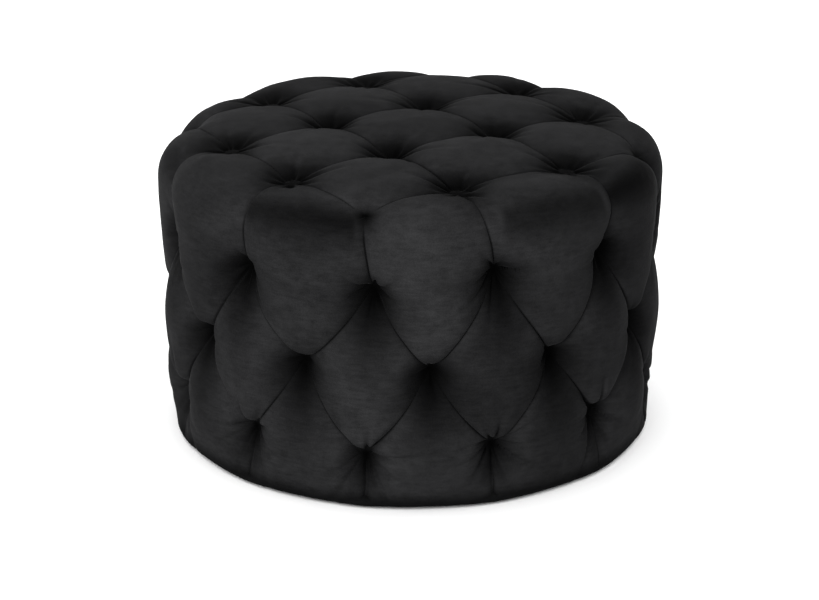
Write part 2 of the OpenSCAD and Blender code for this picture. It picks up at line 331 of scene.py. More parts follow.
@dataclass(frozen=True)
class PuffStyle:
    """How the fabric is pulled in, swells and darkens. Lengths are in metres, the rest are shares."""

    # pleats, pits and the funnel round each tuft in which the swelling is held down
    pleat_depth: float = 0.0085
    top_pleat_depth: float = 0.0065
    dome: float = 0.0066
    dome_reach: float = 0.046
    hem_pleat_depth: float = 0.0025
    notch_depth: float = 0.016
    pit_reach: float = 0.040
    pit_power: float = 1.25
    funnel: float = 0.025
    funnel_top: float = 0.033
    funnel_share: float = 0.94
    funnel_below: float = 1.85
    funnel_above: float = 0.72
    lean: float = 0.45
    # how far in from a pleat a panel is still swelling
    reach_above: float = 0.070
    reach_below: float = 0.032
    reach_level: float = 0.036
    # tufts, the room round the tabs of their ties, and irregularities
    tuft_jitter: float = 0.002
    tuft_margin: float = 0.0008
    tab_clear_r: float = 0.0075
    tab_slope: float = 0.35
    pleat_wiggle: float = 0.0022
    fullness_spread: float = 0.0020
    low_fullness: float = 0.0022
    most_proud: float = 0.010
    ripple: float = 0.00018
    calm_z: float = 0.075
    calm: float = 0.92
    # darkening: random tone of whole panels and broad patches; painted shade at the hem, along pleats and
    # in pits
    panel_shade: float = 0.34
    broad_shade: float = 0.14
    shade_hem: float = 0.82
    shade_line: float = 0.0013
    shade_line_side: float = 0.80
    shade_line_top: float = 0.50
    shade_pit: float = 0.040
    shade_pit_top: float = 0.062
    shade_power: float = 2.0
    shade_rise: float = 2.2
    shade_below: float = 1.9
    cloud_waves: tuple[int, ...] = (3, 5, 8, 13, 19)
    cloud_pitch: float = 5.5
    cloud_span: float = 1.4


@dataclass(frozen=True)
class CreaseStyle:
    """Short creases that fan out from a tuft."""

    count: int
    depth: float
    reach: float
    width: float


CREASES: dict[Kind, CreaseStyle] = {
    Kind.TOP: CreaseStyle(9, 0.0056, 0.030, 0.0026),
    Kind.NOTCH: CreaseStyle(6, 0.0020, 0.016, 0.0020),
    Kind.UPPER: CreaseStyle(8, 0.0062, 0.028, 0.0025),
    Kind.MIDDLE: CreaseStyle(6, 0.0036, 0.022, 0.0024),
    Kind.LOWER: CreaseStyle(10, 0.0085, 0.034, 0.0026),
}


# Size of the painted shade round the pit of a side knot
KNOT_SHADE: dict[Kind, float] = {Kind.NOTCH: 0.45, Kind.UPPER: 1.0, Kind.MIDDLE: 1.05, Kind.LOWER: 0.60}
# Rim panels, by column, whose pile is brushed away from the light, and how dark the band of painted
# shade is that stands for it. The band's middle lies a share of the rim's radius above its foot. It
# fades up and down over two distances, and at the panel's sides between two angles, in degrees.
RIM_SHADE_BANDS: dict[int, float] = {-1: 0.74, 1: 0.62, 2: 0.86, 4: 0.45, 6: 0.55, 9: 0.50}
RIM_SHADE_UP = 0.62
RIM_SHADE_FADE = (0.022, 0.034)
RIM_SHADE_SIDES = (12.5, 15.5)
# painted shade on the hem roll: where it starts and ends, round the end of the side
HEM_SHADE_FROM, HEM_SHADE_TO = -0.022, 0.004

# Hand-tied tufts that stand off the even layout, by kind and by column or lattice place: how far to
# the right along the surface, and how far up (on the top, how far back), in metres
SHIFTS: dict[tuple[Kind, object], tuple[float, float]] = {
    (Kind.UPPER, 0): (0.0125, -0.004),
    (Kind.UPPER, 1): (0.0015, 0.012),
    (Kind.UPPER, 2): (0.0, 0.011),
    (Kind.UPPER, 3): (0.0, 0.005),
    (Kind.LOWER, 0): (0.0, -0.007),
    (Kind.LOWER, 2): (0.0, 0.009),
    (Kind.TOP, (1.0, 0.5)): (-0.006, 0.0),
    (Kind.TOP, (0.0, -0.5)): (-0.006, 0.0),
    (Kind.TOP, (1.0, -0.5)): (0.005, 0.0),
    (Kind.TOP, (0.5, -1.0)): (-0.009, -0.001),
    (Kind.TOP, (-0.5, -1.0)): (0.0, -0.003),
}


class PleatNet:
    """Knots, pleats and panels of the cover, in the drum's chart."""

    def __init__(self, drum: Drum, style: PuffStyle, seed: int = 7) -> None:
        """Lay out the net.

        Args:
            drum: The drum it lies on.
            style: Depths and jitters.
            seed: Seed of the small irregularities.
        """
        self.drum, self.style = drum, style
        self.random = np.random.default_rng(seed)
        self.knots: list[Knot] = []
        self.panels: list[tuple[int, ...]] = []
        self.lines: dict[tuple[int, int], Array] = {}
        self._lay_out()

    def _add(self, kind: Kind, chart: Array, depth: float, tab: Array | None = None) -> int:
        """Add a knot, with a little jitter if it is a tuft.

        Args:
            kind: Where it lies.
            chart: Its place in the chart.
            depth: How far it is drawn in.
            tab: For a tuft, where the tab of its tie lies in the chart.

        Returns:
            Its number.
        """
        jitter = 0.0 if tab is None else self.style.tuft_jitter
        moved = np.asarray(chart, float) + self.random.uniform(-jitter, jitter, 2)
        self.knots.append(Knot(kind, moved, depth, tab))
        return len(self.knots) - 1

    def _side_spot(self, z: float, bearing: float) -> tuple[Array, float]:
        """Chart place and depth of a point that, once sunk, rests at height z and the tuft radius."""
        s, drum = self.drum.sizes, self.drum
        floor_r = s.side_tuft_r + self.style.tuft_margin
        z_on_drum, depth = z, s.outer_r - floor_r
        for _ in range(4):
            rho = float(drum.rho_at_z(z_on_drum))
            depth = float(np.interp(rho, drum.rho, drum.r)) - floor_r
            z_on_drum = z - self.style.lean * float(drum.lean_share(np.array(rho))) * depth
        return rho * np.array([math.sin(bearing), -math.cos(bearing)]), depth

    def _side_knot(self, kind: Kind, column: int, z: float, bearing: float) -> int:
        """Add a side tuft, shifted by its listed amount from the even place of its tie."""
        along, up = SHIFTS.get((kind, column), (0.0, 0.0))
        chart, depth = self._side_spot(z + up, bearing + along / self.drum.sizes.side_tuft_r)
        return self._add(kind, chart, depth, self._side_spot(z, bearing)[0])

    def _lay_out(self) -> None:
        """Place the knots, and list the panels by their corners in order."""
        s, drum = self.drum.sizes, self.drum
        top: dict[tuple[float, float], int] = {}
        halves = np.arange(-1, 1.01, 0.5)
        for i in halves:
            for j in halves:
                if (i + j) % 1 != 0:
                    tab = np.array([i, j]) * s.lattice
                    spot = tab + SHIFTS.get((Kind.TOP, (i, j)), (0.0, 0.0))
                    count = drum.top_count
                    surface_z = float(np.interp(np.hypot(*spot), drum.r[:count], drum.z[:count]))
                    depth = surface_z - s.top_tuft_z - self.style.tuft_margin
                    top[(i, j)] = self._add(Kind.TOP, spot, depth, tab)
        notch_rho = drum.side_start - s.rim_r * math.radians(52)
        for i, j in ((0, -1.5), (1.5, 0), (0, 1.5), (-1.5, 0)):
            place = np.array([i, j]) / 1.5 * notch_rho
            top[(i, j)] = self._add(Kind.NOTCH, place, self.style.notch_depth)
        upper, middle, lower, hem = [], [], [], []
        for k in range(COLUMNS):
            for row, kind, level, half in ((upper, Kind.UPPER, s.row_z[0], 0.0),
                                           (middle, Kind.MIDDLE, s.row_z[1], 0.5),
                                           (lower, Kind.LOWER, s.row_z[2], 0.0)):
                row.append(self._side_knot(kind, k, level, (k + half) * STEP))
            away = drum.side_end * np.array([math.sin(k * STEP), -math.cos(k * STEP)])
            hem.append(self._add(Kind.HEM, away, self.style.hem_pleat_depth))
        for i in halves:
            for j in halves:
                corners = [(i, j - 0.5), (i + 0.5, j), (i, j + 0.5), (i - 0.5, j)]
                if all(c in top for c in corners):
                    self.panels.append(tuple(top[c] for c in corners))
        ring_order = [(0, -1.5), (0.5, -1), (1, -0.5), (1.5, 0), (1, 0.5), (0.5, 1),
                      (0, 1.5), (-0.5, 1), (-1, 0.5), (-1.5, 0), (-1, -0.5), (-0.5, -1)]
        ring = [top[c] for c in ring_order]
        for k in range(COLUMNS):
            n = (k + 1) % COLUMNS
            self.panels.append((ring[n], ring[k], upper[k], middle[k], upper[n]))
            self.panels.append((upper[n], middle[k], lower[n], middle[n]))
            self.panels.append((middle[k], lower[k], hem[k], hem[n], lower[n]))

    def is_pleat(self, a: int, b: int) -> bool:
        """Whether the line between two knots is a pleat, and not the free edge along the hem."""
        return not (self.knots[a].kind is Kind.HEM and self.knots[b].kind is Kind.HEM)

    def line(self, a: int, b: int, spacing: Array) -> Array:
        """Chart points from knot a to knot b.

        Args:
            a: Knot at the start.
            b: Knot at the end.
            spacing: Shares of the half line, from 0 at a knot to 1 at its middle.

        Returns:
            (2m + 1, 2) points. On the top it is straight in the chart. On the side, distance and
            bearing change evenly, and a small bow is added that is the same for both panels.
        """
        key = (min(a, b), max(a, b))
        if key not in self.lines or len(self.lines[key]) != 2 * len(spacing) - 1:
            self.lines[key] = self._trace(*key, spacing)
        points = self.lines[key]
        return points if key == (a, b) else points[::-1]

    def _trace(self, a: int, b: int, spacing: Array) -> Array:
        """Points of one line, in the order of its lower knot number first."""
        share = np.concatenate([spacing / 2, 1 - spacing[-2::-1] / 2])[:, None]
        start, end = self.knots[a].chart, self.knots[b].chart
        flat = {self.knots[a].kind, self.knots[b].kind} <= {Kind.TOP, Kind.NOTCH}
        if flat:
            points = start + share * (end - start)
        else:
            bearing = np.unwrap([math.atan2(start[0], -start[1]), math.atan2(end[0], -end[1])])
            rho = np.hypot(*start) + share[:, 0] * (np.hypot(*end) - np.hypot(*start))
            turn = bearing[0] + share[:, 0] * (bearing[1] - bearing[0])
            points = np.column_stack([rho * np.sin(turn), -rho * np.cos(turn)])
        if not self.is_pleat(a, b):
            return points
        across = np.array([start[1] - end[1], end[0] - start[0]])
        across = across / np.hypot(*across)
        seed = np.random.default_rng(1000 + 97 * a + b)
        bow = seed.uniform(-1, 1) * self.style.pleat_wiggle * np.sin(math.pi * share)
        bow = bow + seed.uniform(-0.5, 0.5) * self.style.pleat_wiggle * np.sin(2 * math.pi * share)
        return points + bow * across


class TuftedSurface:
    """The pleated, swollen surface at a given distance inside the cover's face."""

    def __init__(self, net: PleatNet, steps: int, creased: bool = True, spread: float = 1.45) -> None:
        """Work out the chart points and depths.

        Args:
            net: Knots, pleats and panels.
            steps: Grid steps along half a pleat.
            creased: Whether the tufts' creases are cut in. If not, the surface lies below them all.
            spread: Above 1, grid lines crowd towards pleats and tufts.
        """
        self.net, self.drum, self.style = net, net.drum, net.style
        self.steps = steps
        self.spacing = (np.arange(steps + 1) / steps) ** spread
        charts, swells, domes, aways, fulls, tones, faces, count = [], [], [], [], [], [], [], 0
        for number, panel in enumerate(net.panels):
            chart, quads = self._panel_grid(panel)
            swell, dome, away = self._swell(panel, chart)
            fullness, tone = np.random.default_rng(300 + number).uniform(-1, 1, 2)
            fullness *= self.style.fullness_spread
            if net.knots[panel[-1]].kind in (Kind.MIDDLE, Kind.LOWER):
                fullness -= self.style.low_fullness
            charts.append(chart)
            swells.append(swell)
            domes.append(dome)
            aways.append(away)
            fulls.append(fullness * swell * self._above_hem(np.hypot(chart[:, 0], chart[:, 1])))
            tones.append(self.style.panel_shade * (0.5 + 0.5 * tone) * swell)
            faces.append(quads + count)
            count += len(chart)
        chart, quads = np.concatenate(charts), np.concatenate(faces)
        _, first, back = np.unique(np.round(chart, 7), axis=0, return_index=True, return_inverse=True)
        self.chart, self.faces = chart[first], back.ravel()[quads]
        self.rho = np.hypot(self.chart[:, 0], self.chart[:, 1])
        self.bearing = np.arctan2(self.chart[:, 0], -self.chart[:, 1])
        self.place = self.drum.place(self.chart, np.zeros(len(self.chart)), 0.0)
        self.depth = self._sunk(np.concatenate(swells)[first]) + np.concatenate(fulls)[first]
        puff = (0.5 * np.concatenate(swells) - np.concatenate(domes))[first]
        self.depth += self.style.dome * puff * self._above_hem(self.rho)
        # painted shade from pleats, pits, rim bands and the hem, combined with random tone of panels and
        # broad patches
        lit = (1 - self._shade(np.concatenate(aways)[first])) * (1 - np.concatenate(tones)[first])
        self.shade = 1 - lit * (1 - self.style.broad_shade * self._clouds())
        if creased:
            self.depth = self._clear_of_tabs(self.depth + self._creases() + self._ripple())
        else:
            self.depth = self.depth + self._crease_envelope() + self.style.ripple

    def _panel_grid(self, panel: tuple[int, ...]) -> tuple[Array, Array]:
        """Grid of one panel: a block from each corner to the middle.

        Args:
            panel: Corner knots, counterclockwise as seen from outside.

        Returns:
            Chart points and quads. A block is a Coons patch: the sum of the two ruled surfaces
            between its opposite sides, less the bilinear surface of its corners.
        """
        n, sides = self.steps, len(panel)
        lines = [self.net.line(panel[i], panel[(i + 1) % sides], self.spacing) for i in range(sides)]
        centre = np.mean([line[n] for line in lines], axis=0)
        t = self.spacing
        u, v = t[None, :, None], t[:, None, None]
        points, quads = [], []
        for i in range(sides):
            low, left = lines[i][: n + 1], lines[i - 1][: n - 1 : -1]
            right = low[-1] + t[:, None] * (centre - low[-1])
            high = left[-1] + t[:, None] * (centre - left[-1])
            ruled = (1 - v) * low[None] + v * high[None] + (1 - u) * left[:, None] + u * right[:, None]
            corners = (1 - u) * (1 - v) * low[0] + u * (1 - v) * low[-1]
            corners = corners + (1 - u) * v * left[-1] + u * v * centre
            grid = ruled - corners
            grid[0], grid[:, 0] = low, left
            grid[-1], grid[:, -1] = high, right
            points.append(grid.reshape(-1, 2))
            index = np.arange((n + 1) ** 2).reshape(n + 1, n + 1) + i * (n + 1) ** 2
            quads.append(np.stack([index[:-1, :-1], index[:-1, 1:], index[1:, 1:], index[1:, :-1]], -1))
        return np.concatenate(points), np.concatenate(quads).reshape(-1, 4)

    def _reach(self, panel: tuple[int, ...], a: int, b: int) -> float:
        """How far in from a pleat a panel swells: short and steep at its lower edges on the side."""
        style = self.style
        rho_edge = np.mean([np.hypot(*self.net.knots[k].chart) for k in (a, b)])
        rho_panel = np.mean([np.hypot(*self.net.knots[k].chart) for k in panel])
        flat = {self.net.knots[a].kind, self.net.knots[b].kind} <= {Kind.TOP, Kind.NOTCH}
        if flat:
            return style.reach_level
        if abs(rho_edge - rho_panel) < 0.025:
            return style.reach_level
        return style.reach_below if rho_edge > rho_panel else style.reach_above

    def _swell(self, panel: tuple[int, ...], chart: Array) -> tuple[Array, Array, Array]:
        """How far a panel's points have swollen out, from 0 at its pleats to 1 in the middle.

        Args:
            panel: Corner knots.
            chart: Its chart points.

        Returns:
            The product, over the pleats, of a quarter circle of the distance to each pleat, so that
            the swelling is sheer at a pleat and level further in. Then the same product of bell
            curves turned over, which makes a dome. Then the distance to the nearest pleat.
        """
        place = self.drum.place(chart, np.zeros(len(chart)), 0.0)
        swell, dome, nearest = np.ones(len(chart)), np.ones(len(chart)), np.full(len(chart), 1.0)
        for i, a in enumerate(panel):
            b = panel[(i + 1) % len(panel)]
            if not self.net.is_pleat(a, b):
                continue
            line = self.net.line(a, b, self.spacing)
            away = distance_to_line(place, self.drum.place(line, np.zeros(len(line)), 0.0))
            share = 1 - np.clip(away / self._reach(panel, a, b), 0, 1)
            swell = swell * np.sqrt(np.clip(1 - share**2, 0, 1))
            dome = dome * (1 - np.exp(-((away / self.style.dome_reach) ** 2)))
            nearest = np.minimum(nearest, away)
        return swell, dome, nearest

    def _above_hem(self, rho: Array) -> Array:
        """Ramp that falls from 1, well above the hem, to nearly 0 at the hem."""
        start = float(self.drum.rho_at_z(self.style.calm_z))
        return 1 - self.style.calm * smoothstep(rho, start, self.drum.side_end)

    def _around(self, knot: Knot, reach: float) -> tuple[Array, Array, Array]:
        """Points near a knot, and where they lie from it.

        Args:
            knot: The knot.
            reach: How far to look.

        Returns:
            Numbers of the points, their distance to the right of it, and down the section from it.
        """
        seat = self.drum.place(knot.chart[None], np.zeros(1), 0.0)[0]
        near = np.flatnonzero(np.linalg.norm(self.place - seat, axis=1) < reach)
        offset = self.place[near] - seat
        rho = np.hypot(*knot.chart)
        side = np.array([-knot.chart[1], knot.chart[0], 0]) / rho
        slope_r = np.interp(rho, self.drum.rho, self.drum.tangent_r)
        slope_z = np.interp(rho, self.drum.rho, self.drum.tangent_z)
        down = np.append(knot.chart / rho * slope_r, slope_z)
        return near, offset @ side, offset @ down

    def _sunk(self, swell: Array) -> Array:
        """Depth from the pleats and the pits.

        Args:
            swell: Swelling of each point.

        Returns:
            The depth a pleat has there, deeper towards a tuft, times what the swelling leaves of it.
            Close to a tuft a bell-shaped funnel holds the swelling down, longer below than above.
        """
        style, drum, rho = self.style, self.drum, self.rho
        fade = smoothstep(rho, float(drum.rho_at_z(drum.sizes.row_z[2])), drum.side_end)
        side = smoothstep(rho, drum.side_start - drum.sizes.rim_r, drum.side_start)
        pleat = style.top_pleat_depth + (style.pleat_depth - style.top_pleat_depth) * side
        edge = pleat + (style.hem_pleat_depth - pleat) * fade
        held = np.zeros(len(rho))
        for knot in self.net.knots:
            if knot.kind is Kind.HEM:
                continue
            near, x, y = self._around(knot, 5 * style.pit_reach)
            pull = np.exp(-((np.hypot(x, y) / style.pit_reach) ** style.pit_power))
            edge[near] += (knot.depth - edge[near]) * pull
            level = knot.kind in (Kind.TOP, Kind.NOTCH)
            stretch = np.where(y > 0, style.funnel_below, style.funnel_above) if not level else 1.0
            funnel = style.funnel_top if knot.kind is Kind.TOP else style.funnel
            bell = np.exp(-((np.hypot(x, y / stretch) / funnel) ** 2))
            held[near] = np.maximum(held[near], style.funnel_share * bell)
        return edge * (1 - swell * (1 - held))

    def _shade(self, away: Array) -> Array:
        """How dark the painted shade is, from 0 to 1.

        Args:
            away: Distance of each point to the nearest pleat.

        Returns:
            The most of these painted shades: a bell curve across each pleat; a wider one round each tuft,
            which on the side reaches further below it and on the top counts only as far as the point is
            sunk; a band along the rim of the listed panels, whose pile catches less light; and a ramp at
            the hem.
        """
        style, drum, rho = self.style, self.drum, self.rho
        on_side = smoothstep(rho, drum.side_start - drum.sizes.rim_r, drum.side_start)
        line = style.shade_line_top + (style.shade_line_side - style.shade_line_top) * on_side
        # painted shade along each pleat
        shade = line * np.exp(-((away / style.shade_line) ** 2))
        # painted shade round each tuft; on the top, deeper points get more
        for knot in self.net.knots:
            if knot.kind is Kind.HEM:
                continue
            on_top = knot.kind is Kind.TOP
            reach = style.shade_pit_top if on_top else style.shade_pit * KNOT_SHADE.get(knot.kind, 1.0)
            near, x, y = self._around(knot, 4 * reach)
            stretch = np.where(y > 0, style.shade_below, style.funnel_above) if not on_top else 1.0
            bell = np.exp(-((np.hypot(x, y / stretch) / reach) ** style.shade_power))
            if on_top:
                bell = bell * np.clip(style.shade_rise * self.depth[near] / knot.depth, 0, 1)
            shade[near] = np.maximum(shade[near], bell)
        # painted shade band along the rim of the listed panels
        middle = drum.side_start - RIM_SHADE_UP * drum.sizes.rim_r
        band = np.exp(-((rho - middle) / np.where(rho < middle, *RIM_SHADE_FADE)) ** 2)
        for column, strength in RIM_SHADE_BANDS.items():
            off = (np.degrees(self.bearing) - (column + 0.5) * 360 / COLUMNS + 180) % 360 - 180
            inside = 1 - smoothstep(np.abs(off), *RIM_SHADE_SIDES)
            shade = np.maximum(shade, strength * band * inside)
        # painted shade on the hem roll
        hem = smoothstep(rho, drum.side_end + HEM_SHADE_FROM, drum.side_end + HEM_SHADE_TO)
        return np.maximum(shade, style.shade_hem * hem)

    def _clouds(self) -> Array:
        """Broad soft patches, from 0 to 1: products of slow waves along and across the section."""
        style, random = self.style, np.random.default_rng(41)
        total = np.zeros(len(self.rho))
        for turns in style.cloud_waves:
            around, down = random.uniform(0, 2 * math.pi, 2)
            wave = np.sin(turns * self.bearing + around)
            total += wave * np.sin(turns * style.cloud_pitch * self.rho + down)
        return smoothstep(total, -style.cloud_span, style.cloud_span)

    def _clear_of_tabs(self, depth: Array) -> Array:
        """Hold the surface outside the ties' tabs.

        Args:
            depth: Depth of each point.

        Returns:
            The depth, at most the tuft's own near the tuft and near its tab, and a little more for
            each millimetre further out, so that creases deepen gradually.
        """
        style = self.style
        for knot in self.net.knots:
            if knot.tab is None:
                continue
            for centre in (knot.chart, knot.tab):
                near, x, y = self._around(Knot(knot.kind, centre, knot.depth), 4 * style.tab_clear_r)
                spare = style.tab_slope * np.clip(np.hypot(x, y) - style.tab_clear_r, 0, None)
                depth[near] = np.minimum(depth[near], knot.depth + spare)
        return depth

    def _creases(self) -> Array:
        """Extra depth of the creases that fan out from the tufts.

        Returns:
            For each crease, its depth times (t exp(1 - t)), with t the distance over a share of its
            length, times a bell curve across it whose width grows outward.
        """
        extra = np.zeros(len(self.chart))
        for number, knot in enumerate(self.net.knots):
            if knot.kind not in CREASES:
                continue
            crease = CREASES[knot.kind]
            seed = np.random.default_rng(5000 + number)
            near, x, y = self._around(knot, 3 * crease.reach)
            away = np.hypot(x, y) + 1e-9
            base = seed.uniform(0, 2 * math.pi)
            for m in range(crease.count):
                angle = base + 2 * math.pi * (m + seed.uniform(-0.3, 0.3)) / crease.count
                length = crease.reach * seed.uniform(0.6, 1.3)
                strength = crease.depth * seed.uniform(0.4, 1.2)
                along = x * math.cos(angle) + y * math.sin(angle)
                across = -x * math.sin(angle) + y * math.cos(angle)
                t = np.clip(along, 0, None) / (length / 2.2)
                width = crease.width * (0.6 + 0.8 * away / length)
                shape = t * np.exp(1 - t) * np.exp(-((across / width) ** 2)) * (along > 0)
                extra[near] += strength * shape
        return extra

    def _crease_envelope(self) -> Array:
        """A depth that no crease reaches: one ring-shaped trough around each tuft."""
        extra = np.zeros(len(self.chart))
        for knot in self.net.knots:
            if knot.kind in CREASES:
                crease = CREASES[knot.kind]
                near, x, y = self._around(knot, 3 * crease.reach)
                fade = 1 - smoothstep(np.hypot(x, y), 0.9 * crease.reach, 2.6 * crease.reach)
                extra[near] = np.maximum(extra[near], 1.25 * crease.depth * fade)
        return extra

    def _ripple(self) -> Array:
        """Faint unevenness of the stuffing: a few waves across the chart in seeded directions."""
        seed = np.random.default_rng(42)
        waves = np.zeros(len(self.chart))
        for length in (0.11, 0.083, 0.061, 0.047, 0.036):
            for _ in range(2):
                angle, phase = seed.uniform(0, 2 * math.pi, 2)
                heading = np.array([math.cos(angle), math.sin(angle)])
                waves += length / 0.11 * np.sin(2 * math.pi * self.chart @ heading / length + phase)
        fade = 1 - smoothstep(self.rho, float(self.drum.rho_at_z(0.03)), self.drum.side_end)
        return self.style.ripple * waves * fade

    def points(self, inset: float = 0.0) -> Array:
        """The surface's points, moved in by the inset along the way they were sunk."""
        sunk = np.clip(self.depth, -self.style.most_proud, None)
        return self.drum.place(self.chart, sunk + inset, self.style.lean)

    def hem_ring(self) -> Array:
        """Numbers of the points along the hem, in order of bearing."""
        ring = np.flatnonzero(np.abs(self.rho - self.drum.side_end) < 1e-6)
        return ring[np.argsort(self.bearing[ring])]


def ring_strip(outer: Array, inner: Array) -> Array:
    """Quads between two closed rings of equal length, outer first, numbered by vertex."""
    return np.stack([outer, inner, np.roll(inner, -1), np.roll(outer, -1)], -1)


# ---------------------------------------------------------------------------------------------------
# Materials
# ---------------------------------------------------------------------------------------------------


class NodeKit:
    """Short calls for building a node tree."""

    def __init__(self, tree: bpy.types.NodeTree) -> None:
        """Work on the given tree."""
        self.tree = tree

    def node(self, kind: str, **values: object) -> bpy.types.Node:
        """Add a node.

        Args:
            kind: The node's type, without its ShaderNode prefix.
            values: Attributes, or inputs written as in_NAME, with underscores for spaces.

        Returns:
            The new node.
        """
        node = self.tree.nodes.new("ShaderNode" + kind)
        for key, value in values.items():
            if key.startswith("in_"):
                node.inputs[key[3:].replace("_", " ")].default_value = value
            else:
                setattr(node, key, value)
        return node

    def link(self, source: bpy.types.NodeSocket, target: bpy.types.NodeSocket) -> None:
        """Join two sockets."""
        self.tree.links.new(source, target)

    def ramp(self, source: bpy.types.NodeSocket, low: float, high: float,
             to_low: float = 0.0, to_high: float = 1.0) -> bpy.types.NodeSocket:
        """Stretch a value from one range to another, and clip it."""
        node = self.node("MapRange")
        self.link(source, node.inputs["Value"])
        for name, value in zip(("From Min", "From Max", "To Min", "To Max"), (low, high, to_low, to_high)):
            node.inputs[name].default_value = value
        return node.outputs["Result"]

    def mix(self, factor: bpy.types.NodeSocket, a: tuple, b: tuple) -> bpy.types.NodeSocket:
        """Blend two colours by a factor."""
        node = self.node("Mix", data_type="RGBA")
        self.link(factor, node.inputs[0])
        node.inputs[6].default_value, node.inputs[7].default_value = (*a, 1), (*b, 1)
        return node.outputs[2]


def group(name: str, inputs: dict[str, float],
          outputs: tuple[str, ...]) -> tuple[bpy.types.NodeTree, bool]:
    """Find or start a shader node group.

    Args:
        name: Name of the group.
        inputs: Names and defaults of its number inputs.
        outputs: Names of its number outputs.

    Returns:
        The group, and whether it is new and still has to be filled.
    """
    if name in bpy.data.node_groups:
        return bpy.data.node_groups[name], False
    tree = bpy.data.node_groups.new(name, "ShaderNodeTree")
    tree.interface.new_socket("Vector", in_out="INPUT", socket_type="NodeSocketVector")
    for key, value in inputs.items():
        socket = tree.interface.new_socket(key, in_out="INPUT", socket_type="NodeSocketFloat")
        socket.default_value = value
    for key in outputs:
        tree.interface.new_socket(key, in_out="OUTPUT", socket_type="NodeSocketFloat")
    return tree, True


def nap_group() -> bpy.types.NodeTree:
    """Pile that lies in patches: a broad mottle, streaks along the weave and a fine grain.

    Lay is their weighted mean, for the colour.
    """
    tree, new = group("nap", {"Broad": 9.0, "Patch": 75.0, "Streak": 260.0, "Grain": 640.0},
                      ("Mottle", "Streaks", "Fine", "Lay"))
    if not new:
        return tree
    kit = NodeKit(tree)
    source, sink = kit.tree.nodes.new("NodeGroupInput"), kit.tree.nodes.new("NodeGroupOutput")
    stretch = kit.node("Mapping")
    stretch.inputs["Scale"].default_value = (0.2, 0.2, 1.0)
    kit.link(source.outputs["Vector"], stretch.inputs["Vector"])
    total = None
    layers = (("Broad", "Broad", source, 0.22), ("Mottle", "Patch", source, 0.24),
              ("Streaks", "Streak", stretch, 0.26), ("Fine", "Grain", source, 0.28))
    for name, scale, place, weight in layers:
        noise = kit.node("TexNoise", in_Detail=3.0, in_Roughness=0.6)
        kit.link(place.outputs["Vector"], noise.inputs["Vector"])
        kit.link(source.outputs[scale], noise.inputs["Scale"])
        if name != "Broad":
            kit.link(noise.outputs["Fac"], sink.inputs[name])
        share = kit.node("Math", operation="MULTIPLY_ADD")
        kit.link(kit.ramp(noise.outputs["Fac"], 0.34, 0.66), share.inputs[0])
        share.inputs[1].default_value = weight
        if total is None:
            share.inputs[2].default_value = 0.0
        else:
            kit.link(total, share.inputs[2])
        total = share.outputs[0]
    kit.link(total, sink.inputs["Lay"])
    return tree


def wood_group() -> bpy.types.NodeTree:
    """Growth rings and pores that run along X, as masks."""
    tree, new = group("wood", {"Rings": 90.0, "Pores": 900.0}, ("Rings", "Pores"))
    if not new:
        return tree
    kit = NodeKit(tree)
    source, sink = kit.tree.nodes.new("NodeGroupInput"), kit.tree.nodes.new("NodeGroupOutput")
    for name, squeeze, detail in (("Rings", 0.06, 4.0), ("Pores", 0.05, 2.0)):
        along = kit.node("Mapping")
        along.inputs["Scale"].default_value = (squeeze, 1.0, 1.0)
        kit.link(source.outputs["Vector"], along.inputs["Vector"])
        noise = kit.node("TexNoise", in_Detail=detail, in_Roughness=0.55, in_Distortion=0.3)
        kit.link(along.outputs["Vector"], noise.inputs["Vector"])
        kit.link(source.outputs[name], noise.inputs["Scale"])
        kit.link(kit.ramp(noise.outputs["Fac"], 0.35, 0.65), sink.inputs[name])
    return tree


def fibre_group() -> bpy.types.NodeTree:
    """Cells or fibres: a broad mottle and small round cells, as masks."""
    tree, new = group("fibre", {"Patch": 40.0, "Cell": 900.0}, ("Mottle", "Cells"))
    if not new:
        return tree
    kit = NodeKit(tree)
    source, sink = kit.tree.nodes.new("NodeGroupInput"), kit.tree.nodes.new("NodeGroupOutput")
    mottle = kit.node("TexNoise", in_Detail=4.0, in_Roughness=0.6)
    cells = kit.node("TexVoronoi")
    for node, name in ((mottle, "Patch"), (cells, "Cell")):
        kit.link(source.outputs["Vector"], node.inputs["Vector"])
        kit.link(source.outputs[name], node.inputs["Scale"])
    kit.link(kit.ramp(mottle.outputs["Fac"], 0.35, 0.65), sink.inputs["Mottle"])
    kit.link(kit.ramp(cells.outputs["Distance"], 0.0, 0.7), sink.inputs["Cells"])
    return tree


Colour = tuple[float, float, float]


@dataclass(frozen=True)
class Finish:
    """A named material, and the record's slot that it stands for."""

    slot: str

    def start(self) -> tuple[bpy.types.Material, NodeKit, bpy.types.Node, bpy.types.Node]:
        """Start a material: returns it, its kit, its shader and its coordinates."""
        material = bpy.data.materials.new(f"{self.slot}_finish")
        material.use_nodes = True
        kit = NodeKit(material.node_tree)
        return material, kit, material.node_tree.nodes["Principled BSDF"], kit.node("TexCoord")

    def bump(self, kit: NodeKit, layers: tuple[tuple[bpy.types.NodeSocket, float, float], ...],
             shader: bpy.types.Node) -> None:
        """Chain bumps into the shader's normal. Each layer is a height, a strength and a distance."""
        below = None
        for height, strength, distance in layers:
            node = kit.node("Bump", in_Strength=strength, in_Distance=distance)
            kit.link(height, node.inputs["Height"])
            if below is not None:
                kit.link(below, node.inputs["Normal"])
            below = node.outputs["Normal"]
        kit.link(below, shader.inputs["Normal"])


